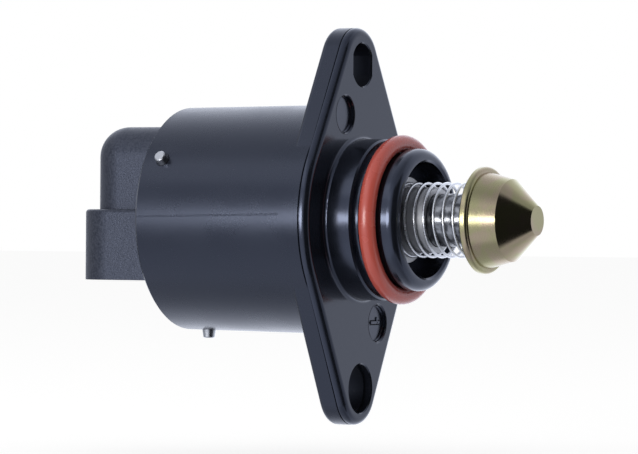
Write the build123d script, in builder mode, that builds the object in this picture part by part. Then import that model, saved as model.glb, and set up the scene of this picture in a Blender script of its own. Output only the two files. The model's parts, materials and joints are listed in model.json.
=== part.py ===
"""Stepper-driven idle air control valve, in millimetres.

The valve's axis is X, with the pintle's tip towards +X. The origin is where that axis meets the
flange's mounting face, +Z points to the ear with the slot, and the connector opens towards -Z.
The pintle is drawn fully extended.
"""
import os
from math import cos, radians, sin, tan

from build123d import *

os.makedirs("parts", exist_ok=True)

# Running and seating clearances
seat_gap = 0.05
sliding_gap = 0.08
end_play = 0.10

# Barrel and flange of the moulded housing
barrel_radius = 16.15
barrel_length = 28.2
barrel_draft = 0.65
barrel_wall = 1.85
rim_edge = 0.35
flange_thickness = 4.25
flange_waist_inset = 0.2
flange_rear_edge = 0.8
plate_thickness = 1.2
plate_stand_out = 0.1
plate_edge = 1.05
parting_width = 0.2
parting_depth = 0.15
parting_edge = 0.1
slot_height = 22.1
slot_ear_radius = 5.3
slot_length = 6.2
slot_width = 5.5
hole_drop = 24.15
hole_ear_radius = 5.2
hole_radius = 3.2
hole_step_radius = 3.5
hole_step_depth = 1.2
mark_recess_radius = 2.6
mark_recess_depth = 0.6
mark_recess_side = 5.1
mark_recess_height = 14.9
opening_edge = 0.15

# Pilot that enters the throttle body: boss, shoulder, ring groove and rounded lip
boss_radius = 11.5
boss_length = 4.2
boss_edge = 0.25
boss_root = 0.6
shoulder_radius = 10.5
shoulder_length = 0.7
groove_radius = 9.6
groove_width = 3.3
lip_radius = 10.12
lip_length = 2.4
lip_rounding = 1.4
lip_edge = 0.15
nose_bore_radius = 8.25
nose_bore_edge = 0.3
nose_pocket_depth = 4.6
ring_section_radius = 1.2

# Wall between the motor and the nose, and the front bearing in it
front_wall = 4.6
bush_length = 3.2
front_bush_wall = 2.4

# Rear cap: plug in the barrel, seal, retaining pins and connector
plug_length = 7.1
seal_groove_width = 1.2
seal_groove_depth = 1.1
seal_groove_land = 0.6
pin_radius = 1.0
pin_back = 3.35
pin_stand_out = 1.2
pin_tip_radius = 0.8
pin_bite = 2.0
pin_edge = 0.12
first_pin_angle = 31
pin_count = 3
rear_bush_radius = 5.6
screw_relief = 2.0
neck_reach = 13.2
neck_half_width = 7.5
neck_top = 13.3
neck_corner = 5.0
neck_rounding = 4.4
shroud_reach = 14.8
shroud_half_width = 9.5
shroud_top = 1.25
shroud_bottom = -9.0
shroud_corner = 6.0
shroud_edge = 0.5
shroud_wall = 1.5
socket_depth = 9.0
latch_width = 4.4
latch_depth = 1.2
latch_height = 3.0
latch_drop = 3.4
terminal_count = 4
terminal_pitch = 3.0
terminal_width = 1.5
terminal_thickness = 0.64
terminal_tail_height = 8.6
terminal_short_of_mouth = 2.2

# Stator: two claw-pole halves back to back
sheet = 0.8
air_gap = 0.4
claw_count = 6
claw_root_angle = 26
claw_tip_angle = 14
claw_tip_gap = 0.9
bobbin_wall = 0.6
bobbin_margin = 0.55
winding_margin = 0.4

# Rotor: ring magnet on a threaded nut
magnet_bore = 5.2
magnet_share = 0.5
magnet_margin = 1.1
front_journal_radius = 4.0
rear_journal_radius = 3.5
washer_thickness = 0.45
washer_radius = 5.4

# Lead screw, pintle, guide sleeve and spring
stroke = 8.0
parked_gap = 0.6
screw_radius = 2.5
thread_length = 13.5
stem_radius = 3.75
stem_flat = 0.55
stem_stop_gap = 0.5
spigot_radius = 2.4
spigot_length = 3.6
pintle_base_radius = 7.55
pintle_base_length = 1.15
pintle_base_rounding = 0.5
pintle_base_edge = 0.2
pintle_seat_step = 0.77
pintle_shoulder_radius = 5.82
pintle_seat_length = 3.63
pintle_tip_radius = 2.1
pintle_tip_length = 3.8
pintle_recess_depth = 2.0
sleeve_radius = 4.65
sleeve_collar_radius = 6.1
sleeve_collar_length = 1.4
sleeve_stand_out = 1.6
spring_radius = 5.4
spring_wire = 0.36
spring_turns = 8.75

# Places along the axis, worked out from the lengths above
rim_x = -barrel_length
parting_front_x = -plate_thickness
parting_rear_x = parting_front_x - parting_width
cavity_front_x = -front_wall
plug_front_x = rim_x + plug_length
shoulder_x = boss_length + shoulder_length
lip_x = shoulder_x + groove_width
nose_front_x = lip_x + lip_length
nose_floor_x = nose_front_x - nose_pocket_depth
front_bush_front_x = cavity_front_x + bush_length
rear_bush_rear_x = plug_front_x - bush_length
pin_x = rim_x + pin_back
pintle_rear_x = nose_front_x + parked_gap + stroke
pintle_seat_x = pintle_rear_x + pintle_base_length
pintle_shoulder_x = pintle_seat_x + pintle_seat_length
pintle_tip_x = pintle_shoulder_x + pintle_tip_length
pintle_recess_x = pintle_rear_x + pintle_recess_depth
sleeve_front_x = nose_front_x + sleeve_stand_out
sleeve_rear_x = front_bush_front_x + seat_gap
spring_seat_x = nose_floor_x + seat_gap + sleeve_collar_length
stem_rear_x = front_bush_front_x + stroke + stem_stop_gap
screw_rear_x = front_bush_front_x - thread_length
ring_centre_x = shoulder_x + groove_width / 2
seal_front_x = plug_front_x - seal_groove_land
seal_rear_x = seal_front_x - seal_groove_width
socket_length = shroud_reach - 2 * shroud_wall
socket_centre_x = rim_x - shroud_wall - socket_length / 2
stator_front_x = cavity_front_x - seat_gap
stator_rear_x = plug_front_x + seat_gap
half_stack = (stator_front_x - stator_rear_x) / 2 - seat_gap / 2
washer_rear_x = plug_front_x + end_play
washer_front_x = washer_rear_x + washer_thickness
nut_shoulder_front_x = cavity_front_x - end_play
nut_shoulder_rear_x = washer_front_x + end_play

# Radii that fit one another
cavity_radius = barrel_radius - barrel_wall
barrel_front_radius = barrel_radius + (parting_rear_x - rim_x) * tan(radians(barrel_draft))
waist_radius = barrel_front_radius - flange_waist_inset
plate_radius = barrel_front_radius + plate_stand_out
root_disc_radius = (barrel_radius + boss_radius) / 2
plug_radius = cavity_radius - seat_gap
front_bush_radius = front_journal_radius + sliding_gap + front_bush_wall
front_bush_pocket_radius = front_bush_radius + seat_gap
sleeve_bore_radius = stem_radius + sliding_gap
guide_hole_radius = sleeve_radius + seat_gap
pintle_recess_radius = sleeve_radius + 2 * sliding_gap
pintle_seat_radius = pintle_base_radius - pintle_seat_step
stem_flat_y = stem_radius - stem_flat
stator_radius = cavity_radius - seat_gap
stator_build = air_gap + sheet + seat_gap + bobbin_wall + seat_gap + winding_margin + bobbin_margin + sheet
magnet_and_winding = stator_radius - stator_build - magnet_bore
magnet_radius = magnet_bore + magnet_share * magnet_and_winding
pole_inner_radius = magnet_radius + air_gap
pole_outer_radius = pole_inner_radius + sheet
spring_coil_radius = spring_radius - spring_wire / 2
socket_width = 2 * (shroud_half_width - shroud_wall)
screw_bore_radius = screw_radius + sliding_gap
bobbin_bore_radius = pole_outer_radius + seat_gap
bobbin_core_radius = bobbin_bore_radius + bobbin_wall
bobbin_radius = stator_radius - sheet - bobbin_margin

pin_angles = [first_pin_angle - 360 * i / pin_count for i in range(pin_count)]
pin_directions = [(0, -cos(radians(a)), sin(radians(a))) for a in pin_angles]
terminal_sides = [terminal_pitch * (i - (terminal_count - 1) / 2) for i in range(terminal_count)]
terminal_planes = [Plane.XZ.offset(side) for side in terminal_sides]

# Side view of a bent terminal: blade down into the socket, tail forward through the plug
blade_rear_x = socket_centre_x - terminal_thickness / 2
blade_front_x = socket_centre_x + terminal_thickness / 2
blade_end = shroud_bottom + terminal_short_of_mouth
terminal_outline = [
    (blade_rear_x, blade_end),
    (blade_rear_x, terminal_tail_height),
    (plug_front_x, terminal_tail_height),
    (plug_front_x, terminal_tail_height - terminal_thickness),
    (blade_front_x, terminal_tail_height - terminal_thickness),
    (blade_front_x, blade_end),
]


def radial_plane(direction, x, distance):
    """A plane square to a direction out from the axis, at a distance along it."""
    origin = (x, distance * direction[1], distance * direction[2])
    return Plane(origin=origin, x_dir=(1, 0, 0), z_dir=direction)


# Housing: flange, barrel and nose in one moulding
with BuildPart() as housing:
    for layer_rear_x, layer_front_x, middle_radius, ear_inset in (
        (-flange_thickness, parting_rear_x, waist_radius, 0),
        (parting_rear_x, parting_front_x, waist_radius - parting_depth, parting_depth),
        (parting_front_x, 0, plate_radius, 0),
    ):
        with BuildSketch(Plane.YZ.offset(layer_rear_x)):
            Circle(middle_radius)
            with Locations((0, slot_height)):
                Circle(slot_ear_radius - ear_inset)
            with Locations((0, -hole_drop)):
                Circle(hole_ear_radius - ear_inset)
            make_hull()
        extrude(amount=layer_front_x - layer_rear_x)
    fillet(housing.faces().sort_by(Axis.X)[-1].outer_wire().edges(), plate_edge)
    fillet(housing.faces().sort_by(Axis.X)[0].outer_wire().edges(), flange_rear_edge)
    with BuildSketch(Plane.XY) as outside:
        with BuildLine():
            Polyline(
                (rim_x, 0),
                (rim_x, barrel_radius),
                (parting_rear_x, barrel_front_radius),
                (parting_rear_x, root_disc_radius),
                (0, root_disc_radius),
                (0, boss_radius),
                (boss_length, boss_radius),
                (boss_length, shoulder_radius),
                (shoulder_x, shoulder_radius),
                (shoulder_x, groove_radius),
                (lip_x, groove_radius),
                (lip_x, lip_radius),
                (nose_front_x, lip_radius),
                (nose_front_x, 0),
                close=True,
            )
        make_face()
        fillet(outside.vertices().sort_by_distance((nose_front_x, lip_radius))[0], lip_rounding)
        fillet(outside.vertices().sort_by_distance((0, boss_radius))[0], boss_root)
        chamfer(outside.vertices().sort_by_distance((lip_x, lip_radius))[0], lip_edge)
        chamfer(outside.vertices().sort_by_distance((boss_length, boss_radius))[0], boss_edge)
        chamfer(outside.vertices().sort_by_distance((parting_rear_x, barrel_front_radius))[0], parting_edge)
        chamfer(outside.vertices().sort_by_distance((rim_x, barrel_radius))[0], rim_edge)
    revolve(axis=Axis.X)
    with BuildSketch(Plane.XY):
        with BuildLine():
            Polyline(
                (rim_x, 0),
                (rim_x, cavity_radius),
                (cavity_front_x, cavity_radius),
                (cavity_front_x, front_bush_pocket_radius),
                (front_bush_front_x, front_bush_pocket_radius),
                (front_bush_front_x, guide_hole_radius),
                (nose_floor_x, guide_hole_radius),
                (nose_floor_x, nose_bore_radius),
                (nose_front_x - nose_bore_edge, nose_bore_radius),
                (nose_front_x, nose_bore_radius + nose_bore_edge),
                (nose_front_x, 0),
                close=True,
            )
        make_face()
    revolve(axis=Axis.X, mode=Mode.SUBTRACT)
    with BuildSketch(Plane.YZ):
        with Locations((0, slot_height)):
            Circle(slot_length / 2)
            Rectangle(slot_width, slot_length, mode=Mode.INTERSECT)
    extrude(amount=-flange_thickness, mode=Mode.SUBTRACT)
    with Locations(Plane(origin=(0, 0, -hole_drop), z_dir=(1, 0, 0))):
        CounterBoreHole(hole_radius, hole_step_radius, hole_step_depth, flange_thickness)
    for side in (-1, 1):
        recess = (0, side * mark_recess_side, -side * mark_recess_height)
        with Locations(Plane(origin=recess, z_dir=(1, 0, 0))):
            Hole(mark_recess_radius, mark_recess_depth)
    mounting_face = housing.faces().filter_by(Axis.X).sort_by_distance((0, 0, slot_height))[0]
    for opening in mounting_face.inner_wires().sort_by(SortBy.LENGTH)[:-1]:
        chamfer(opening.edges(), opening_edge)
    with Locations([radial_plane(d, pin_x, barrel_radius) for d in pin_directions]):
        Hole(pin_radius + seat_gap, 2 * barrel_wall)
housing.part.label = "housing"
export_step(housing.part, "parts/housing.step")

# Sealing ring in the groove round the nose
with BuildPart() as mounting_o_ring:
    with BuildSketch(Plane.XY):
        with Locations((ring_centre_x, groove_radius + seat_gap + ring_section_radius)):
            Circle(ring_section_radius)
    revolve(axis=Axis.X)
mounting_o_ring.part.label = "mounting_o_ring"
export_step(mounting_o_ring.part, "parts/mounting_o_ring.step")

# Rear cap: connector neck and shroud behind a round plug
with BuildPart() as connector_cap:
    with BuildSketch(Plane.XY.offset(shroud_bottom)) as shroud_plan:
        with Locations((rim_x - shroud_reach / 2, 0)):
            Rectangle(shroud_reach, 2 * shroud_half_width)
        fillet(shroud_plan.vertices().group_by(Axis.X)[0], shroud_corner)
    extrude(amount=shroud_top - shroud_bottom)
    shroud_crown = connector_cap.faces().sort_by(Axis.Z)[-1].outer_wire().edges()
    fillet(shroud_crown.sort_by(Axis.X)[:-1], shroud_edge)
    with BuildSketch(Plane.XY.offset(shroud_top)) as neck_plan:
        with Locations((rim_x - neck_reach / 2, 0)):
            Rectangle(neck_reach, 2 * neck_half_width)
        fillet(neck_plan.vertices().group_by(Axis.X)[0], neck_corner)
    extrude(amount=neck_top - shroud_top)
    neck_crown = connector_cap.faces().sort_by(Axis.Z)[-1].outer_wire().edges()
    fillet(neck_crown.sort_by(Axis.X)[:-1], neck_rounding)
    with BuildSketch(Plane.XY.offset(shroud_bottom)) as socket_plan:
        with Locations((socket_centre_x, 0)):
            Rectangle(socket_length, socket_width)
        fillet(socket_plan.vertices().group_by(Axis.X)[0], shroud_corner - shroud_wall)
    extrude(amount=socket_depth, mode=Mode.SUBTRACT)
    with BuildSketch(Plane.XZ):
        with BuildLine():
            Polyline(
                (rim_x - shroud_reach, shroud_top - latch_drop),
                (rim_x - shroud_reach - latch_depth, shroud_top - latch_drop),
                (rim_x - shroud_reach, shroud_top - latch_drop - latch_height),
                close=True,
            )
        make_face()
    extrude(amount=latch_width / 2, both=True)
    with BuildSketch(Plane.XY):
        with BuildLine():
            Polyline(
                (rim_x, 0),
                (rim_x, plug_radius),
                (seal_rear_x, plug_radius),
                (seal_rear_x, plug_radius - seal_groove_depth),
                (seal_front_x, plug_radius - seal_groove_depth),
                (seal_front_x, plug_radius),
                (plug_front_x, plug_radius),
                (plug_front_x, rear_bush_radius + seat_gap),
                (rear_bush_rear_x, rear_bush_radius + seat_gap),
                (rear_bush_rear_x, screw_bore_radius),
                (rear_bush_rear_x - screw_relief, screw_bore_radius),
                (rear_bush_rear_x - screw_relief, 0),
                close=True,
            )
        make_face()
    revolve(axis=Axis.X)
    with Locations([radial_plane(d, pin_x, plug_radius) for d in pin_directions]):
        Hole(pin_radius + seat_gap, pin_bite + seat_gap)
    with BuildSketch(*terminal_planes):
        with BuildLine():
            Polyline(*terminal_outline, close=True)
        make_face()
        offset(amount=seat_gap, kind=Kind.INTERSECTION)
    extrude(amount=terminal_width / 2 + seat_gap, both=True, mode=Mode.SUBTRACT)
connector_cap.part.label = "connector_cap"
export_step(connector_cap.part, "parts/connector_cap.step")

# Four bent terminals moulded into the cap
with BuildPart() as terminals:
    with BuildSketch(*terminal_planes):
        with BuildLine():
            Polyline(*terminal_outline, close=True)
        make_face()
    extrude(amount=terminal_width / 2, both=True)
terminals.part.label = "terminals"
export_step(terminals.part, "parts/terminals.step")

# Seal between the cap's plug and the barrel
with BuildPart() as cap_seal:
    with BuildSketch(Plane.YZ.offset(seal_rear_x + seat_gap)):
        Circle(cavity_radius - seat_gap / 2)
        Circle(plug_radius - seal_groove_depth + seat_gap, mode=Mode.SUBTRACT)
    extrude(amount=seal_groove_width - 2 * seat_gap)
cap_seal.part.label = "cap_seal"
export_step(cap_seal.part, "parts/cap_seal.step")

# Three pins driven through the barrel into the plug
with BuildPart() as retaining_pins:
    with BuildSketch(*[radial_plane(d, pin_x, plug_radius - pin_bite) for d in pin_directions]):
        Circle(pin_radius)
    extrude(amount=barrel_radius - plug_radius + pin_bite)
    with Locations([radial_plane(d, pin_x, barrel_radius) for d in pin_directions]):
        Cone(pin_radius, pin_tip_radius, pin_stand_out, align=(Align.CENTER, Align.CENTER, Align.MIN))
    pin_tips = retaining_pins.edges().sort_by_distance((pin_x, 0, 0))[-pin_count:]
    chamfer(pin_tips, pin_edge)
retaining_pins.part.label = "retaining_pins"
export_step(retaining_pins.part, "parts/retaining_pins.step")

# Two stator halves, each a cup and a centre plate with claws that mesh, round a wound bobbin
for half, end_x, inward in (("front", stator_front_x, -1), ("rear", stator_rear_x, 1)):
    plate_x = end_x + inward * (half_stack - sheet)
    mid_x = end_x + inward * half_stack
    claw_length = half_stack - sheet - claw_tip_gap
    claw_turn = 180 / claw_count
    root_half_width = pole_outer_radius * sin(radians(claw_root_angle / 2))
    tip_half_width = pole_outer_radius * sin(radians(claw_tip_angle / 2))

    for piece, root_x, pointing, first_angle, wall_radius in (
        ("cup", end_x, inward, 0, stator_radius),
        ("pole_plate", mid_x, -inward, claw_turn, stator_radius - sheet - seat_gap),
    ):
        angles = [first_angle + 2 * claw_turn * i for i in range(claw_count)]
        directions = [(0, cos(radians(a)), sin(radians(a))) for a in angles]
        with BuildPart() as plate:
            with BuildSketch(Plane.YZ.offset(root_x)):
                Circle(pole_outer_radius)
                Circle(pole_inner_radius, mode=Mode.SUBTRACT)
            extrude(amount=pointing * claw_length)
            with BuildSketch(*[radial_plane(d, root_x, 0) for d in directions]):
                with BuildLine():
                    Polyline(
                        (0, -root_half_width),
                        (0, root_half_width),
                        (pointing * claw_length, tip_half_width),
                        (pointing * claw_length, -tip_half_width),
                        close=True,
                    )
                make_face()
            extrude(amount=stator_radius, mode=Mode.INTERSECT)
            with BuildSketch(Plane.YZ.offset(root_x)):
                Circle(wall_radius)
                Circle(pole_inner_radius, mode=Mode.SUBTRACT)
            extrude(amount=pointing * sheet)
            if piece == "cup":
                with BuildSketch(Plane.YZ.offset(root_x)):
                    Circle(stator_radius)
                    Circle(stator_radius - sheet, mode=Mode.SUBTRACT)
                extrude(amount=pointing * half_stack)
        plate.part.label = f"{half}_stator_{piece}"
        export_step(plate.part, f"parts/{half}_stator_{piece}.step")

    bobbin_outer_x = end_x + inward * (sheet + seat_gap)
    bobbin_inner_x = plate_x - inward * seat_gap
    with BuildPart() as bobbin:
        with BuildSketch(Plane.XY):
            with BuildLine():
                Polyline(
                    (bobbin_outer_x, bobbin_bore_radius),
                    (bobbin_outer_x, bobbin_radius),
                    (bobbin_outer_x + inward * bobbin_wall, bobbin_radius),
                    (bobbin_outer_x + inward * bobbin_wall, bobbin_core_radius),
                    (bobbin_inner_x - inward * bobbin_wall, bobbin_core_radius),
                    (bobbin_inner_x - inward * bobbin_wall, bobbin_radius),
                    (bobbin_inner_x, bobbin_radius),
                    (bobbin_inner_x, bobbin_bore_radius),
                    close=True,
                )
            make_face()
        revolve(axis=Axis.X)
    bobbin.part.label = f"{half}_bobbin"
    export_step(bobbin.part, f"parts/{half}_bobbin.step")

    winding_start_x = bobbin_outer_x + inward * (bobbin_wall + seat_gap)
    winding_end_x = bobbin_inner_x - inward * (bobbin_wall + seat_gap)
    with BuildPart() as winding:
        with BuildSketch(Plane.YZ.offset(winding_start_x)):
            Circle(bobbin_radius - winding_margin)
            Circle(bobbin_core_radius + seat_gap, mode=Mode.SUBTRACT)
        extrude(amount=winding_end_x - winding_start_x)
    winding.part.label = f"{half}_winding"
    export_step(winding.part, f"parts/{half}_winding.step")

# Rotor: ring magnet on the threaded nut that turns in the two bushes
with BuildPart() as rotor_magnet:
    with BuildSketch(Plane.YZ.offset(stator_rear_x + magnet_margin)):
        Circle(magnet_radius)
        Circle(magnet_bore, mode=Mode.SUBTRACT)
    extrude(amount=stator_front_x - stator_rear_x - 2 * magnet_margin)
rotor_magnet.part.label = "rotor_magnet"
export_step(rotor_magnet.part, "parts/rotor_magnet.step")

with BuildPart() as rotor_nut:
    with BuildSketch(Plane.XY):
        with BuildLine():
            Polyline(
                (rear_bush_rear_x + end_play, screw_bore_radius),
                (rear_bush_rear_x + end_play, rear_journal_radius),
                (nut_shoulder_rear_x, rear_journal_radius),
                (nut_shoulder_rear_x, magnet_bore - seat_gap),
                (nut_shoulder_front_x, magnet_bore - seat_gap),
                (nut_shoulder_front_x, front_journal_radius),
                (front_bush_front_x - end_play, front_journal_radius),
                (front_bush_front_x - end_play, screw_bore_radius),
                close=True,
            )
        make_face()
    revolve(axis=Axis.X)
rotor_nut.part.label = "rotor_nut"
export_step(rotor_nut.part, "parts/rotor_nut.step")

with BuildPart() as front_bush:
    with BuildSketch(Plane.YZ.offset(cavity_front_x)):
        Circle(front_bush_radius)
        Circle(front_journal_radius + sliding_gap, mode=Mode.SUBTRACT)
    extrude(amount=bush_length - seat_gap)
front_bush.part.label = "front_bush"
export_step(front_bush.part, "parts/front_bush.step")

with BuildPart() as rear_bush:
    with BuildSketch(Plane.YZ.offset(rear_bush_rear_x + seat_gap)):
        Circle(rear_bush_radius)
        Circle(rear_journal_radius + sliding_gap, mode=Mode.SUBTRACT)
    extrude(amount=bush_length - seat_gap)
rear_bush.part.label = "rear_bush"
export_step(rear_bush.part, "parts/rear_bush.step")

with BuildPart() as thrust_washer:
    with BuildSketch(Plane.YZ.offset(washer_rear_x)):
        Circle(washer_radius)
        Circle(rear_journal_radius + sliding_gap, mode=Mode.SUBTRACT)
    extrude(amount=washer_thickness)
thrust_washer.part.label = "thrust_washer"
export_step(thrust_washer.part, "parts/thrust_washer.step")

# Guide sleeve in the nose, with a flat in its bore that stops the stem from turning
with BuildPart() as guide_sleeve:
    with BuildSketch(Plane.YZ.offset(sleeve_rear_x)):
        Circle(sleeve_radius)
    extrude(amount=sleeve_front_x - sleeve_rear_x)
    with BuildSketch(Plane.YZ.offset(nose_floor_x + seat_gap)):
        Circle(sleeve_collar_radius)
    extrude(amount=sleeve_collar_length)
    with BuildSketch(Plane.YZ.offset(sleeve_rear_x)):
        Circle(sleeve_bore_radius)
        with Locations((stem_flat_y + sliding_gap, 0)):
            Rectangle(
                stem_radius, 3 * stem_radius, align=(Align.MIN, Align.CENTER), mode=Mode.SUBTRACT
            )
    extrude(amount=sleeve_front_x - sleeve_rear_x, mode=Mode.SUBTRACT)
guide_sleeve.part.label = "guide_sleeve"
export_step(guide_sleeve.part, "parts/guide_sleeve.step")

# Lead screw: threaded tail, guided stem with one flat, and the spigot that holds the pintle
with BuildPart() as lead_screw:
    with BuildSketch(Plane.XY):
        with BuildLine():
            Polyline(
                (screw_rear_x, 0),
                (screw_rear_x, screw_radius),
                (stem_rear_x, screw_radius),
                (stem_rear_x, stem_radius),
                (pintle_recess_x - seat_gap, stem_radius),
                (pintle_recess_x - seat_gap, spigot_radius),
                (pintle_recess_x + spigot_length, spigot_radius),
                (pintle_recess_x + spigot_length, 0),
                close=True,
            )
        make_face()
    revolve(axis=Axis.X)
    with BuildSketch(Plane.YZ.offset(stem_rear_x)):
        with Locations((stem_flat_y, 0)):
            Rectangle(stem_radius, 3 * stem_radius, align=(Align.MIN, Align.CENTER))
    extrude(amount=pintle_recess_x - stem_rear_x, mode=Mode.SUBTRACT)
lead_screw.part.label = "lead_screw"
export_step(lead_screw.part, "parts/lead_screw.step")

# Pintle: base disc, seating cone and blunt tip, hollowed behind to clear the sleeve
with BuildPart() as pintle:
    with BuildSketch(Plane.XY) as pintle_profile:
        with BuildLine():
            Polyline(
                (pintle_rear_x, pintle_recess_radius),
                (pintle_rear_x, pintle_base_radius),
                (pintle_seat_x, pintle_base_radius),
                (pintle_seat_x, pintle_seat_radius),
                (pintle_shoulder_x, pintle_shoulder_radius),
                (pintle_tip_x, pintle_tip_radius),
                (pintle_tip_x, 0),
                (pintle_recess_x + spigot_length + seat_gap, 0),
                (pintle_recess_x + spigot_length + seat_gap, spigot_radius + seat_gap),
                (pintle_recess_x, spigot_radius + seat_gap),
                (pintle_recess_x, pintle_recess_radius),
                close=True,
            )
        make_face()
        base_rear, base_front = pintle_profile.vertices().sort_by(Axis.Y)[-2:].sort_by(Axis.X)
        chamfer(base_rear, pintle_base_edge)
        fillet(base_front, pintle_base_rounding)
    revolve(axis=Axis.X)
pintle.part.label = "pintle"
export_step(pintle.part, "parts/pintle.step")

# Spring between the sleeve's collar and the pintle
spring_start_x = spring_seat_x + spring_wire / 2 + seat_gap
spring_height = pintle_rear_x - spring_seat_x - spring_wire - 2 * seat_gap
with BuildPart() as pintle_spring:
    with BuildLine() as coil:
        Helix(
            pitch=spring_height / spring_turns,
            height=spring_height,
            radius=spring_coil_radius,
            center=(spring_start_x, 0, 0),
            direction=(1, 0, 0),
        )
    with BuildSketch(Plane(origin=coil.line @ 0, x_dir=(1, 0, 0), z_dir=coil.line % 0)):
        Rectangle(spring_wire, spring_wire)
    sweep(is_frenet=True)
pintle_spring.part.label = "pintle_spring"
export_step(pintle_spring.part, "parts/pintle_spring.step")
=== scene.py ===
"""Looks of a stepper-driven idle air control valve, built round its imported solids.

Lengths are in metres, in the part's own frame: +X runs along the axis to the pintle's tip, +Z points to
the ear with the slot, and the origin is where the axis meets the flange's mounting face.
"""
import json
from math import cos, pi, radians, sin, tau

import bmesh
import bpy
from mathutils import Matrix, Vector


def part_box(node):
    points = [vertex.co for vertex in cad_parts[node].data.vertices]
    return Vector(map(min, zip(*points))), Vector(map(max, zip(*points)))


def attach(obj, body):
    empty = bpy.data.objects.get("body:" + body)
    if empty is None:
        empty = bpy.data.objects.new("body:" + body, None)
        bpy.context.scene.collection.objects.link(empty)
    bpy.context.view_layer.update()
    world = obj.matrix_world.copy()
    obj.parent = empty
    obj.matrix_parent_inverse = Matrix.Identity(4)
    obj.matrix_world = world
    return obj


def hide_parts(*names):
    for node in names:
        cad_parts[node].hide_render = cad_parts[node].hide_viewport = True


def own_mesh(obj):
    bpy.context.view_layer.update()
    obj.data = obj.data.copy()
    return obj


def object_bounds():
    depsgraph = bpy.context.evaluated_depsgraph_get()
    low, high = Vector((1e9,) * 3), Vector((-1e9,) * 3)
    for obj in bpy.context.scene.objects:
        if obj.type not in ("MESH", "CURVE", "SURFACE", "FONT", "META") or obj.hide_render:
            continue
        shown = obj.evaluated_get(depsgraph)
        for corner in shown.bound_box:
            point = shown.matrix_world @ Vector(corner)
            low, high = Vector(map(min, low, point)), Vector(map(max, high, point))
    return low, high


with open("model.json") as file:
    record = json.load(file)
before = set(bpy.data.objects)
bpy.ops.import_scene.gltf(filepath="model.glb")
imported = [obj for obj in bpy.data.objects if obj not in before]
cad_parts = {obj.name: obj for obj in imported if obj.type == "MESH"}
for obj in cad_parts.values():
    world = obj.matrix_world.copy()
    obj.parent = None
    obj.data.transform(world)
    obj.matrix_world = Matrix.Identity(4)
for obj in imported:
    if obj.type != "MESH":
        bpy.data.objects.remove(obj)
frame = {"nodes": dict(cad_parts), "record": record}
cad_low, cad_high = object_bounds()

MM = 0.001
scene = bpy.context.scene
scene.view_settings.view_transform = "Standard"


# Camera, at the photograph's view

IMAGE_WIDTH = 638
FOCAL_PIXELS = 4200
SENSOR_WIDTH = 36
VIEW_DISTANCE = 0.6
VIEW_AZIMUTH = radians(28.5)
VIEW_ROLL = radians(0.43)
VIEW_RIGHT_OFFSET = 6.1 * MM
VIEW_UP_OFFSET = 1.055 * MM


def make_camera():
    """A long lens at the height of the valve's axis, turned towards the nose."""
    back = Vector((sin(VIEW_AZIMUTH), -cos(VIEW_AZIMUTH), 0))
    level_right = Vector((cos(VIEW_AZIMUTH), sin(VIEW_AZIMUTH), 0))
    level_up = back.cross(level_right)
    right = cos(VIEW_ROLL) * level_right + sin(VIEW_ROLL) * level_up
    up = cos(VIEW_ROLL) * level_up - sin(VIEW_ROLL) * level_right
    data = bpy.data.cameras.new("camera")
    data.sensor_width = SENSOR_WIDTH
    data.lens = SENSOR_WIDTH * FOCAL_PIXELS / IMAGE_WIDTH
    data.clip_start = 0.01
    data.clip_end = 20
    camera = bpy.data.objects.new("camera", data)
    place = VIEW_DISTANCE * back - VIEW_RIGHT_OFFSET * right - VIEW_UP_OFFSET * up
    camera.matrix_world = Matrix.Translation(place) @ Matrix((right, up, back)).transposed().to_4x4()
    scene.collection.objects.link(camera)
    scene.camera = camera


# Short ways to build node trees

def add(tree, kind, settings=None, at=None, **inputs):
    """Adds a node. Sockets are given by name or, in `at`, by number, as values or as sockets to link."""
    made = tree.nodes.new(kind)
    for name, value in (settings or {}).items():
        setattr(made, name, value)
    named = [(made.inputs[name.replace("_", " ")], value) for name, value in inputs.items()]
    numbered = [(made.inputs[number], value) for number, value in (at or {}).items()]
    for socket, value in named + numbered:
        if isinstance(value, bpy.types.NodeSocket):
            tree.links.new(value, socket)
        else:
            socket.default_value = value
    return made


def math(tree, operation, first, second=0.0, third=0.0):
    """One sum, product or comparison of two or three values."""
    values = {0: first, 1: second, 2: third}
    return add(tree, "ShaderNodeMath", {"operation": operation}, values).outputs[0]


def mix_colour(tree, factor, first, second):
    """A colour between two colours."""
    colours = {0: factor, 6: (*first, 1) if isinstance(first, tuple) else first,
               7: (*second, 1) if isinstance(second, tuple) else second}
    return add(tree, "ShaderNodeMix", {"data_type": "RGBA"}, colours).outputs[2]


def mix_value(tree, factor, first, second):
    """A number between two numbers."""
    return add(tree, "ShaderNodeMix", {"data_type": "FLOAT"}, {0: factor, 2: first, 3: second}).outputs[0]


def remap(tree, value, low, high, to_low=0.0, to_high=1.0):
    """Turns one range of a value smoothly into another."""
    made = add(tree, "ShaderNodeMapRange", {"interpolation_type": "SMOOTHSTEP"},
               {0: value, 1: low, 2: high, 3: to_low, 4: to_high})
    return made.outputs[0]


def position(tree):
    """The place on the part, as a vector."""
    return add(tree, "ShaderNodeTexCoord").outputs["Object"]


def coordinates(tree, place):
    """The X, Y and Z of a place or direction."""
    return add(tree, "ShaderNodeSeparateXYZ", None, {0: place}).outputs


def off_axis(tree, place):
    """How far a place lies from the valve's axis."""
    across = add(tree, "ShaderNodeVectorMath", {"operation": "MULTIPLY"}, {0: place, 1: (0, 1, 1)}).outputs[0]
    return add(tree, "ShaderNodeVectorMath", {"operation": "LENGTH"}, {0: across}).outputs["Value"]


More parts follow.
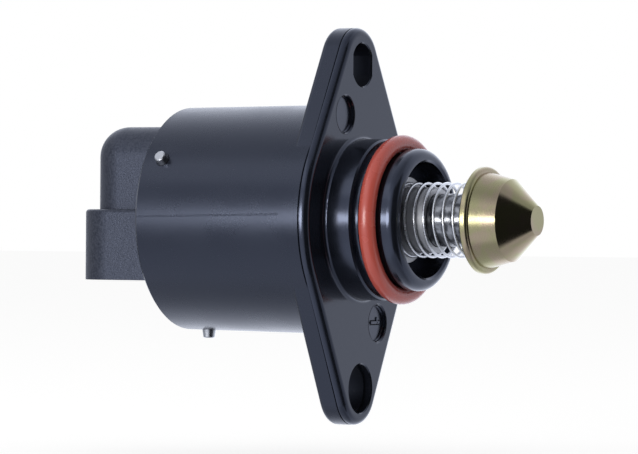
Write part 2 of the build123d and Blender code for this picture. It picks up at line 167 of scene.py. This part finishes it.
def noise(tree, place, size, detail=3.0, rough=0.5, stretch=None):
    """Cloudy noise with features of about the given size, stretched by an axis-wise factor if asked."""
    if stretch:
        place = add(tree, "ShaderNodeMapping", None, {0: place, 3: stretch}).outputs[0]
    made = add(tree, "ShaderNodeTexNoise", None, None, Vector=place, Scale=1 / size, Detail=detail,
               Roughness=rough)
    return made.outputs[0]


def bump(tree, height, depth, strength=1.0, under=None):
    """Surface relief of the given depth, laid over another relief if asked."""
    made = add(tree, "ShaderNodeBump", None, None, Height=height, Distance=depth, Strength=strength)
    if under is not None:
        tree.links.new(under, made.inputs["Normal"])
    return made.outputs[0]


def new_material(name):
    """An empty material and its tree and shader."""
    material = bpy.data.materials.new(f"{name}_finish")
    material.use_nodes = True
    tree = material.node_tree
    shader = next(node for node in tree.nodes if node.type == "BSDF_PRINCIPLED")
    return material, tree, shader


def dress(tree, shader, **inputs):
    """Sets the shader's sockets, as values or as links."""
    for name, value in inputs.items():
        socket = shader.inputs[name.replace("_", " ")]
        if isinstance(value, bpy.types.NodeSocket):
            tree.links.new(value, socket)
        elif isinstance(value, tuple):
            socket.default_value = (*value, 1)
        else:
            socket.default_value = value


# Materials

MARK_CENTRE = Vector((-0.6 * MM, 5.0 * MM, -14.8 * MM))
MARK_WIDTH = 0.42 * MM
MARK_RISE = 0.18 * MM
MARK_EDGE = 0.11 * MM
# Reach of the painted shade round the mould mark's bar: the recess floor there is made dull and dark.
MARK_SHADE_SHIFT = 0.3 * MM
MARK_SHADE_HALF_LENGTH = 1.55 * MM
MARK_STROKES = (((-0.9, 0.0), (1.4, 0.0)), ((0.8, 0.0), (0.8, 0.6)))

PLASTIC_TINT = (0.66, 0.74, 1.0)
SEAM_SLOPE = 0.018
SEAM_HEIGHT = 0.72 * MM
BARREL_FRONT = -4.6 * MM
PLATE_BACK = -1.35 * MM
PLATE_FRONT = -1.2 * MM
HOLE_TOP = -0.2 * MM
SATIN_GLOSS = 0.75
FRONT_GLOSS = 1.0
SHADE_DULL_GLOSS = 0.25
RUBBER_GLOSS = 0.75
SHADE_DULL_ROUGHNESS = 0.6
TURNING_RING = 0.05 * MM
RING_LEAN = 0.8
TIP_START = 23.9 * MM
TIP_SOFT = 0.2 * MM
TIP_POLISH = 0.55
STEM_REACH = 4.0 * MM
SPRING_REACH = 6.0 * MM
COPPER_WIRE_RADIUS = 0.09 * MM
BOLT_HOLES = ((22.1 * MM, 3.2 * MM), (-24.15 * MM, 3.6 * MM))


def near_a_hole(tree, y, z):
    """One within a bolt hole, which is given as its height and largest radius, and nought elsewhere."""
    inside = 0.0
    for height, radius in BOLT_HOLES:
        above = math(tree, "SUBTRACT", z, height)
        across = add(tree, "ShaderNodeCombineXYZ", None, {0: y, 1: above}).outputs[0]
        distance = add(tree, "ShaderNodeVectorMath", {"operation": "LENGTH"}, {0: across}).outputs["Value"]
        inside = math(tree, "MAXIMUM", inside, math(tree, "LESS_THAN", distance, radius))
    return inside


def painted_shade_round_mark(tree, x, y, z):
    """One on the recess floor close to the mould mark's bar, where dull dark plastic is painted shade, and
    nought elsewhere.
    """
    beside = math(tree, "COMPARE", z, MARK_CENTRE.z, 0.9 * MARK_WIDTH)
    along = math(tree, "COMPARE", y, MARK_CENTRE.y + MARK_SHADE_SHIFT, MARK_SHADE_HALF_LENGTH)
    low = math(tree, "LESS_THAN", x, MARK_CENTRE.x + 0.6 * MARK_RISE)
    return math(tree, "MULTIPLY", low, math(tree, "MULTIPLY", beside, along))


def housing_plastic():
    """Black moulded plastic: satin on the barrel, shiny on the mounting face, between the two in front."""
    material, tree, shader = new_material("housing_plastic")
    place = position(tree)
    x, y, z = coordinates(tree, place)
    cloud = noise(tree, place, 7 * MM)
    smear = noise(tree, place, 1.6 * MM, stretch=(0.25, 1, 1))
    pebble = noise(tree, place, 0.22 * MM, 2)
    grit = noise(tree, place, 0.35 * MM, 2)
    front_half = remap(tree, x, PLATE_BACK, PLATE_FRONT)
    mounting_face = remap(tree, math(tree, "ABSOLUTE", x), 0.1 * MM, 0.25 * MM, 1, 0)
    seam_height = math(tree, "MULTIPLY_ADD", x, SEAM_SLOPE, SEAM_HEIGHT)
    seam_distance = math(tree, "ABSOLUTE", math(tree, "SUBTRACT", z, seam_height))
    on_barrel = math(tree, "LESS_THAN", x, BARREL_FRONT)
    seam = math(tree, "MULTIPLY", remap(tree, seam_distance, 0.03 * MM, 0.12 * MM, 1, 0), on_barrel)
    speck = remap(tree, noise(tree, place, 0.5 * MM, 1), 0.77, 0.82)
    colour = mix_colour(tree, cloud, (0.005, 0.006, 0.009), (0.009, 0.0105, 0.015))
    colour = mix_colour(tree, math(tree, "MULTIPLY", speck, 0.25), colour, (0.06, 0.065, 0.075))
    satin = math(tree, "ADD", remap(tree, cloud, 0.3, 0.7, 0.23, 0.28), math(tree, "MULTIPLY", smear, 0.05))
    satin = math(tree, "ADD", satin, remap(tree, grit, 0.3, 0.7, -0.01, 0.01))
    shiny = remap(tree, smear, 0.3, 0.7, 0.11, 0.18)
    soft = remap(tree, smear, 0.3, 0.7, 0.18, 0.23)
    rough = mix_value(tree, mounting_face, mix_value(tree, front_half, satin, soft), shiny)
    # Painted shade: the walls of the bolt holes and the recess floor round the mould mark are made dull and
    # dark.
    hole_wall_shade = math(tree, "MULTIPLY", math(tree, "LESS_THAN", x, HOLE_TOP), near_a_hole(tree, y, z))
    dull = math(tree, "MAXIMUM", hole_wall_shade, painted_shade_round_mark(tree, x, y, z))
    gloss = mix_value(tree, mounting_face, mix_value(tree, front_half, SATIN_GLOSS, FRONT_GLOSS), SATIN_GLOSS)
    rough = mix_value(tree, dull, rough, SHADE_DULL_ROUGHNESS)
    relief = bump(tree, pebble, 0.004 * MM, 0.35)
    relief = bump(tree, seam, 0.03 * MM, 0.6, relief)
    dress(tree, shader, Base_Color=colour, Roughness=rough, Normal=relief,
          Specular_IOR_Level=mix_value(tree, dull, gloss, SHADE_DULL_GLOSS), Specular_Tint=PLASTIC_TINT)
    return material


def connector_plastic():
    """Dark grey moulding with a spark-eroded grain."""
    material, tree, shader = new_material("connector_plastic")
    place = position(tree)
    cloud = noise(tree, place, 4 * MM)
    grain = noise(tree, place, 0.3 * MM, 3, 0.65)
    colour = mix_colour(tree, remap(tree, grain, 0.35, 0.65), (0.007, 0.008, 0.012), (0.046, 0.050, 0.064))
    colour = mix_colour(tree, math(tree, "MULTIPLY", cloud, 0.4), colour, (0.020, 0.022, 0.030))
    dress(tree, shader, Base_Color=colour, Roughness=remap(tree, grain, 0.3, 0.7, 0.36, 0.50),
          Normal=bump(tree, grain, 0.06 * MM, 0.7), Specular_IOR_Level=SATIN_GLOSS, Specular_Tint=PLASTIC_TINT)
    return material


def rubber(name, dark, light, rough):
    """Moulded rubber with a faint bloom."""
    material, tree, shader = new_material(name)
    place = position(tree)
    cloud = noise(tree, place, 3 * MM)
    fine = noise(tree, place, 0.12 * MM, 2)
    dress(tree, shader, Base_Color=mix_colour(tree, cloud, dark, light),
          Roughness=remap(tree, cloud, 0.3, 0.7, rough, rough + 0.08), Normal=bump(tree, fine, 0.006 * MM, 0.4),
          Specular_IOR_Level=RUBBER_GLOSS)
    return material


def pintle_plating():
    """Yellow zinc plate with pink and green bloom over fine turning rings."""
    material, tree, shader = new_material("pintle_plating")
    place = position(tree)
    x = coordinates(tree, place)[0]
    along = math(tree, "SUBTRACT", x, math(tree, "MULTIPLY", off_axis(tree, place), RING_LEAN))
    rings = add(tree, "ShaderNodeTexNoise", {"noise_dimensions": "1D"}, None, W=along, Scale=1 / TURNING_RING,
                Detail=2.0).outputs[0]
    bloom = noise(tree, place, 2.6 * MM, 2, stretch=(1, 0.6, 0.6))
    cloud = noise(tree, place, 1.1 * MM, 3)
    colour = mix_colour(tree, remap(tree, bloom, 0.42, 0.6), (0.40, 0.365, 0.20), (0.43, 0.345, 0.235))
    colour = mix_colour(tree, remap(tree, cloud, 0.45, 0.75, 0, 0.5), colour, (0.37, 0.36, 0.18))
    rough = remap(tree, math(tree, "ADD", rings, math(tree, "MULTIPLY", cloud, 0.4)), 0.4, 1.0, 0.19, 0.33)
    on_tip = remap(tree, x, TIP_START, TIP_START + TIP_SOFT)
    dress(tree, shader, Base_Color=colour, Metallic=1.0,
          Roughness=math(tree, "MULTIPLY", rough, mix_value(tree, on_tip, 1.0, TIP_POLISH)),
          Normal=bump(tree, rings, 0.0016 * MM, 0.5))
    return material


def metal(name, dark, light, rough, grain, stretch=None, depth=0.001):
    """Bare or plated metal with streaks of the given size."""
    material, tree, shader = new_material(name)
    place = position(tree)
    streak = noise(tree, place, grain, 3, 0.6, stretch)
    cloud = noise(tree, place, 2 * MM)
    dress(tree, shader, Base_Color=mix_colour(tree, cloud, dark, light), Metallic=1.0,
          Roughness=remap(tree, streak, 0.3, 0.7, rough, rough + 0.12),
          Normal=bump(tree, streak, depth * MM, 0.5))
    return material


def bright_steel():
    """Steel of the polished stem, the spring wire round it and, further out, the pins; the stem's colour is
    painted shade and reflections, dark in patches, and the spring's is a painted highlight, lighter than the
    pins'.
    """
    material, tree, shader = new_material("bright_steel")
    place = position(tree)
    streak = noise(tree, place, 0.25 * MM, 3, 0.6, (0.3, 1, 1))
    cloud = noise(tree, place, 2 * MM)
    # Patches of the stem's painted reflections.
    painted_reflection_patch = remap(tree, noise(tree, place, 1.2 * MM, 2), 0.38, 0.62)
    radius = off_axis(tree, place)
    on_stem = math(tree, "LESS_THAN", radius, STEM_REACH)
    on_spring = math(tree, "SUBTRACT", math(tree, "LESS_THAN", radius, SPRING_REACH), on_stem)
    colour = mix_colour(tree, cloud, (0.46, 0.47, 0.49), (0.58, 0.59, 0.61))
    # Painted highlight: the spring wire is lighter than the pins' steel.
    colour = mix_colour(tree, on_spring, colour, (0.84, 0.85, 0.88))
    # Painted shade and reflections: the stem is dark, in patches.
    stem_painted_shade_colour = mix_colour(tree, painted_reflection_patch, (0.08, 0.083, 0.09), (0.28, 0.285, 0.30))
    colour = mix_colour(tree, on_stem, colour, stem_painted_shade_colour)
    rough = remap(tree, streak, 0.3, 0.7, 0.24, 0.36)
    rough = mix_value(tree, on_stem, rough, mix_value(tree, painted_reflection_patch, 0.26, 0.16))
    dress(tree, shader, Base_Color=colour, Metallic=1.0, Roughness=rough,
          Normal=bump(tree, streak, 0.001 * MM, 0.5))
    return material


def bobbin_plastic():
    """Pale glass-filled nylon."""
    material, tree, shader = new_material("bobbin_plastic")
    place = position(tree)
    fibre = noise(tree, place, 0.4 * MM, 3, 0.6, (0.3, 1, 1))
    dress(tree, shader, Base_Color=mix_colour(tree, fibre, (0.62, 0.59, 0.48), (0.72, 0.69, 0.58)),
          Roughness=remap(tree, fibre, 0.3, 0.7, 0.42, 0.55), Normal=bump(tree, fibre, 0.005 * MM, 0.4))
    return material


def copper_wire():
    """Enamelled copper wound in close turns."""
    material, tree, shader = new_material("copper_wire")
    place = position(tree)
    across_turn = math(tree, "PINGPONG", coordinates(tree, place)[0], COPPER_WIRE_RADIUS)
    height = remap(tree, across_turn, 0, COPPER_WIRE_RADIUS)
    cloud = noise(tree, place, 1.5 * MM)
    dress(tree, shader, Base_Color=mix_colour(tree, cloud, (0.50, 0.17, 0.07), (0.66, 0.27, 0.12)),
          Metallic=1.0, Roughness=remap(tree, cloud, 0.3, 0.7, 0.22, 0.34),
          Normal=bump(tree, height, 0.05 * MM))
    return material


def magnet_ferrite():
    """Moulded ferrite, dull and dark."""
    material, tree, shader = new_material("magnet_ferrite")
    place = position(tree)
    grain = noise(tree, place, 0.25 * MM, 4, 0.6)
    dress(tree, shader, Base_Color=mix_colour(tree, grain, (0.022, 0.022, 0.024), (0.045, 0.045, 0.047)),
          Roughness=remap(tree, grain, 0.3, 0.7, 0.5, 0.7), Normal=bump(tree, grain, 0.01 * MM, 0.6))
    return material


def make_materials():
    """Every slot's material, by the slot's name."""
    made = [
        housing_plastic(),
        connector_plastic(),
        rubber("ring_rubber", (0.59, 0.101, 0.074), (0.66, 0.118, 0.087), 0.22),
        rubber("seal_rubber", (0.012, 0.012, 0.013), (0.022, 0.022, 0.024), 0.5),
        pintle_plating(),
        bright_steel(),
        metal("sleeve_steel", (0.60, 0.60, 0.61), (0.70, 0.70, 0.71), 0.45, 0.2 * MM),
        metal("stator_steel", (0.48, 0.49, 0.50), (0.58, 0.59, 0.60), 0.30, 0.5 * MM, (1, 0.3, 0.3)),
        bobbin_plastic(),
        copper_wire(),
        magnet_ferrite(),
        metal("brass", (0.62, 0.43, 0.16), (0.72, 0.52, 0.22), 0.18, 0.15 * MM, (1, 0.2, 0.2)),
        metal("bush_bronze", (0.40, 0.24, 0.10), (0.52, 0.33, 0.15), 0.34, 0.12 * MM, None, 0.004),
        metal("terminal_tin", (0.62, 0.62, 0.60), (0.70, 0.70, 0.68), 0.20, 0.3 * MM),
    ]
    return {material.name.removesuffix("_finish"): material for material in made}


def paint_nodes(materials):
    """Gives every solid the material of its slot in the record."""
    for subpart in frame["record"]["subparts"]:
        mesh = frame["nodes"][subpart["node"]].data
        mesh.materials.clear()
        mesh.materials.append(materials[subpart["material_slot"]])


# Light, floor and background

CARD_RIGHT = radians(-62)
CARD_LEFT = radians(12)
CARD_TOP = sin(radians(52))
CARD_SOFT = radians(5)
CARD_GLOW = 0.02
COOL_WHITE = (0.92, 0.97, 1.10)
TENT_FRONT = 0.75
TENT_BACK = 1.15
TENT_BACK_CENTRE = 0.5
TENT_RIGHT_SHARE = 0.72
TENT_FAR_LEFT_SHARE = 0.4
TENT_TOP_SHARE = 0.68
TENT_BOTTOM_SHARE = 0.58
TENT_LOWER_FRONT_GAIN = 0.17
FILL_LIGHT = 0.38
PANEL_TOWARDS = (-0.197, -0.98, 0.03)
PANEL_SIZE = (0.62, 0.31)
PANEL_RADIANCE = 8.8
OVERHEAD_TOWARDS = (-0.477, -0.6, 0.65)
OVERHEAD_SIZE = (1.24, 0.32)
OVERHEAD_RADIANCE = 0.45
LIGHT_DISTANCE = 0.9


def make_world():
    """A white tent, brighter behind the valve than in front, with a dark card at the camera's right."""
    world = bpy.data.worlds.new("studio")
    scene.world = world
    world.use_nodes = True
    tree = world.node_tree
    tree.nodes.clear()
    direction = add(tree, "ShaderNodeTexCoord").outputs["Generated"]
    x, y, z = coordinates(tree, direction)
    turn = math(tree, "ARCTAN2", y, x)
    card = math(tree, "MULTIPLY", remap(tree, turn, CARD_RIGHT, CARD_RIGHT + CARD_SOFT),
                remap(tree, turn, CARD_LEFT - CARD_SOFT, CARD_LEFT, 1, 0))
    height = math(tree, "ABSOLUTE", z)
    card = math(tree, "MULTIPLY", card, remap(tree, height, CARD_TOP - CARD_SOFT, CARD_TOP, 1, 0))
    behind = math(tree, "SUBTRACT", math(tree, "MULTIPLY", y, cos(VIEW_AZIMUTH)),
                  math(tree, "MULTIPLY", x, sin(VIEW_AZIMUTH)))
    tent = math(tree, "ADD", remap(tree, behind, -0.3, 0.6, TENT_FRONT, TENT_BACK),
                remap(tree, behind, 0.6, 1, 0, TENT_BACK_CENTRE))
    tent = math(tree, "MULTIPLY", tent, remap(tree, x, -0.1, 0.45, 1, TENT_RIGHT_SHARE))
    tent = math(tree, "MULTIPLY", tent, remap(tree, x, -0.9, -0.6, TENT_FAR_LEFT_SHARE, 1))
    tent = math(tree, "MULTIPLY", tent, remap(tree, z, 0.7, 0.9, 1, TENT_TOP_SHARE))
    tent = math(tree, "MULTIPLY", tent, remap(tree, z, -0.88, -0.76, TENT_BOTTOM_SHARE, 1))
    lower_front = math(tree, "MULTIPLY", remap(tree, z, -0.6, -0.3, 1, 0),
                       remap(tree, behind, -0.2, 0.2, 1, 0))
    tent = math(tree, "MULTIPLY", tent, math(tree, "MULTIPLY_ADD", lower_front, TENT_LOWER_FRONT_GAIN, 1))
    seen_in_gloss = mix_value(tree, card, tent, CARD_GLOW)
    path = add(tree, "ShaderNodeLightPath")
    camera_ray, glossy_ray = path.outputs["Is Camera Ray"], path.outputs["Is Glossy Ray"]
    clear_ray = path.outputs["Is Transmission Ray"]
    strength = mix_value(tree, glossy_ray, FILL_LIGHT, seen_in_gloss)
    strength = mix_value(tree, math(tree, "MAXIMUM", camera_ray, clear_ray), strength, 1.0)
    colour = mix_colour(tree, glossy_ray, (1.0, 1.0, 1.0), COOL_WHITE)
    background = add(tree, "ShaderNodeBackground", None, None, Color=colour, Strength=strength)
    add(tree, "ShaderNodeOutputWorld", None, None, Surface=background.outputs[0])


def area_light(name, towards, size, radiance):
    """An oval soft light of even brightness that faces the origin."""
    data = bpy.data.lights.new(name, "AREA")
    data.shape = "ELLIPSE"
    data.size, data.size_y = size
    area = pi / 4 * data.size * data.size_y
    data.energy = radiance * pi * area
    light = bpy.data.objects.new(name, data)
    direction = Vector(towards).normalized()
    light.location = LIGHT_DISTANCE * direction
    light.rotation_euler = direction.to_track_quat("Z", "Y").to_euler()
    scene.collection.objects.link(light)


def make_lights():
    """A bright panel in front, just outside what the barrel mirrors, and a weak one above it."""
    area_light("panel", PANEL_TOWARDS, PANEL_SIZE, PANEL_RADIANCE)
    area_light("overhead", OVERHEAD_TOWARDS, OVERHEAD_SIZE, OVERHEAD_RADIANCE)


FLOOR_DROP = 0.005
FLOOR_HALF = 4.0
FLOOR_COLOUR = (0.85, 0.85, 0.85)
FLOOR_GLOW = 0.635


def make_floor():
    """A plain white floor a little below the valve, which is drawn as it is held by its flange."""
    mesh = bpy.data.meshes.new("floor")
    level = cad_low.z - FLOOR_DROP
    signs = ((-1, -1), (1, -1), (1, 1), (-1, 1))
    corners = [(sx * FLOOR_HALF, sy * FLOOR_HALF, level) for sx, sy in signs]
    mesh.from_pydata(corners, [], [(0, 1, 2, 3)])
    floor = bpy.data.objects.new("floor", mesh)
    scene.collection.objects.link(floor)
    material, tree, shader = new_material("floor_white")
    path = add(tree, "ShaderNodeLightPath")
    seen = math(tree, "MAXIMUM", path.outputs["Is Camera Ray"], path.outputs["Is Glossy Ray"])
    seen = math(tree, "MAXIMUM", seen, path.outputs["Is Transmission Ray"])
    dress(tree, shader, Base_Color=FLOOR_COLOUR, Roughness=0.9, Specular_IOR_Level=0.0,
          Emission_Color=(1.0, 1.0, 1.0), Emission_Strength=math(tree, "MULTIPLY", seen, FLOOR_GLOW))
    mesh.materials.append(material)
    floor.visible_glossy = False


# Pieces with more detail than their solids

def tube_mesh(name, points, radius, sides=12):
    """A closed round tube along a row of points."""
    mesh = bpy.data.meshes.new(name)
    made = bmesh.new()
    rings = []
    for i, point in enumerate(points):
        ahead = points[min(i + 1, len(points) - 1)] - points[max(i - 1, 0)]
        tangent = ahead.normalized()
        outward = Vector((0, point.y, point.z)).normalized()
        outward = (outward - outward.dot(tangent) * tangent).normalized()
        side = tangent.cross(outward)
        turns = [tau * k / sides for k in range(sides)]
        rings.append([made.verts.new(point + radius * (cos(t) * outward + sin(t) * side)) for t in turns])
    for first, second in zip(rings, rings[1:]):
        for k in range(sides):
            made.faces.new((first[k], first[(k + 1) % sides], second[(k + 1) % sides], second[k]))
    made.faces.new(list(reversed(rings[0])))
    made.faces.new(rings[-1])
    for face in made.faces:
        face.smooth = len(face.verts) == 4
    bmesh.ops.recalc_face_normals(made, faces=made.faces)
    made.to_mesh(mesh)
    made.free()
    piece = bpy.data.objects.new(name, mesh)
    scene.collection.objects.link(piece)
    return piece


SPRING_WIRE_RADIUS = 0.21 * MM
SPRING_TURNS = 8.75
SPRING_CLOSED_PITCH = 2.1 * SPRING_WIRE_RADIUS
SPRING_START_TURN = 0.2
SPRING_CLOSED_AT_NOSE = 0.2
SPRING_CLOSED_AT_PINTLE = 1.8
POINTS_PER_TURN = 72


def make_spring(materials):
    """Round-wire spring whose last turns lie close at the pintle."""
    low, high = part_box("pintle_spring")
    coil_radius = high.z - SPRING_WIRE_RADIUS
    start, end = low.x + SPRING_WIRE_RADIUS, high.x - SPRING_WIRE_RADIUS
    closed_turns = SPRING_CLOSED_AT_NOSE + SPRING_CLOSED_AT_PINTLE
    open_turns = SPRING_TURNS - closed_turns
    open_pitch = (end - start - closed_turns * SPRING_CLOSED_PITCH) / open_turns
    count = int(SPRING_TURNS * POINTS_PER_TURN)
    points = []
    for i in range(count + 1):
        turn = SPRING_TURNS * i / count
        opened = min(max(turn - SPRING_CLOSED_AT_NOSE, 0), open_turns)
        x = start + opened * open_pitch + (turn - opened) * SPRING_CLOSED_PITCH
        angle = tau * (SPRING_START_TURN + turn)
        points.append(Vector((x, coil_radius * cos(angle), coil_radius * sin(angle))))
    spring = tube_mesh("wound_spring", points, SPRING_WIRE_RADIUS)
    spring.data.materials.append(materials["bright_steel"])
    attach(spring, "valve_body")
    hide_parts("pintle_spring")
    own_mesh(spring)


def housing_detail(name, made, materials):
    """Turns finished geometry into a piece of the housing."""
    mesh = bpy.data.meshes.new(name)
    bmesh.ops.recalc_face_normals(made, faces=made.faces)
    made.to_mesh(mesh)
    made.free()
    piece = bpy.data.objects.new(name, mesh)
    scene.collection.objects.link(piece)
    mesh.materials.append(materials["housing_plastic"])
    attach(piece, "valve_body")


def make_mark(materials):
    """Small raised mould mark on the floor of the lower recess: a bar with a short stroke above it."""
    made = bmesh.new()
    for start, end in MARK_STROKES:
        first, last = (MARK_CENTRE + MM * Vector((0, *point)) for point in (start, end))
        along = (last - first).normalized()
        outward = Vector((1, 0, 0))
        turn = Matrix((outward, along, outward.cross(along))).transposed().to_4x4()
        size = Matrix.Diagonal((2 * MARK_RISE, (last - first).length + MARK_WIDTH, MARK_WIDTH, 1))
        bmesh.ops.create_cube(made, size=1, matrix=Matrix.Translation((first + last) / 2) @ turn @ size)
    bmesh.ops.bevel(made, geom=made.edges[:], offset=MARK_EDGE, segments=2, profile=0.5, affect="EDGES")
    housing_detail("recess_mark", made, materials)


RECESS_SIDE = 5.1 * MM
RECESS_HEIGHT = 14.9 * MM
RING_STEPS = 64
RECESS_FILLET = ((2.60, -0.44), (2.60, -0.60), (2.44, -0.60), (2.48, -0.56), (2.55, -0.50))
RECESS_FLASH = ((2.76, -0.02), (2.83, 0.035), (2.90, -0.02))


def make_recess_rings(materials):
    """The rounded corner in each recess and the thin raised line that its mould pin left round it."""
    for side, place in ((-1, "upper"), (1, "lower")):
        centre = Vector((0, side * RECESS_SIDE, -side * RECESS_HEIGHT))
        for name, section in (("fillet", RECESS_FILLET), ("flash", RECESS_FLASH)):
            made = bmesh.new()
            rings = []
            for k in range(RING_STEPS):
                outward = Vector((0, cos(tau * k / RING_STEPS), sin(tau * k / RING_STEPS)))
                points = [centre + MM * (radius * outward + Vector((x, 0, 0))) for radius, x in section]
                rings.append([made.verts.new(point) for point in points])
            for first, second in zip(rings, rings[1:] + rings[:1]):
                for k in range(len(section)):
                    after = (k + 1) % len(section)
                    made.faces.new((first[k], first[after], second[after], second[k]))
            housing_detail(f"{place}_recess_{name}", made, materials)


make_camera()
make_world()
make_lights()
make_floor()
paints = make_materials()
paint_nodes(paints)
make_spring(paints)
make_mark(paints)
make_recess_rings(paints)
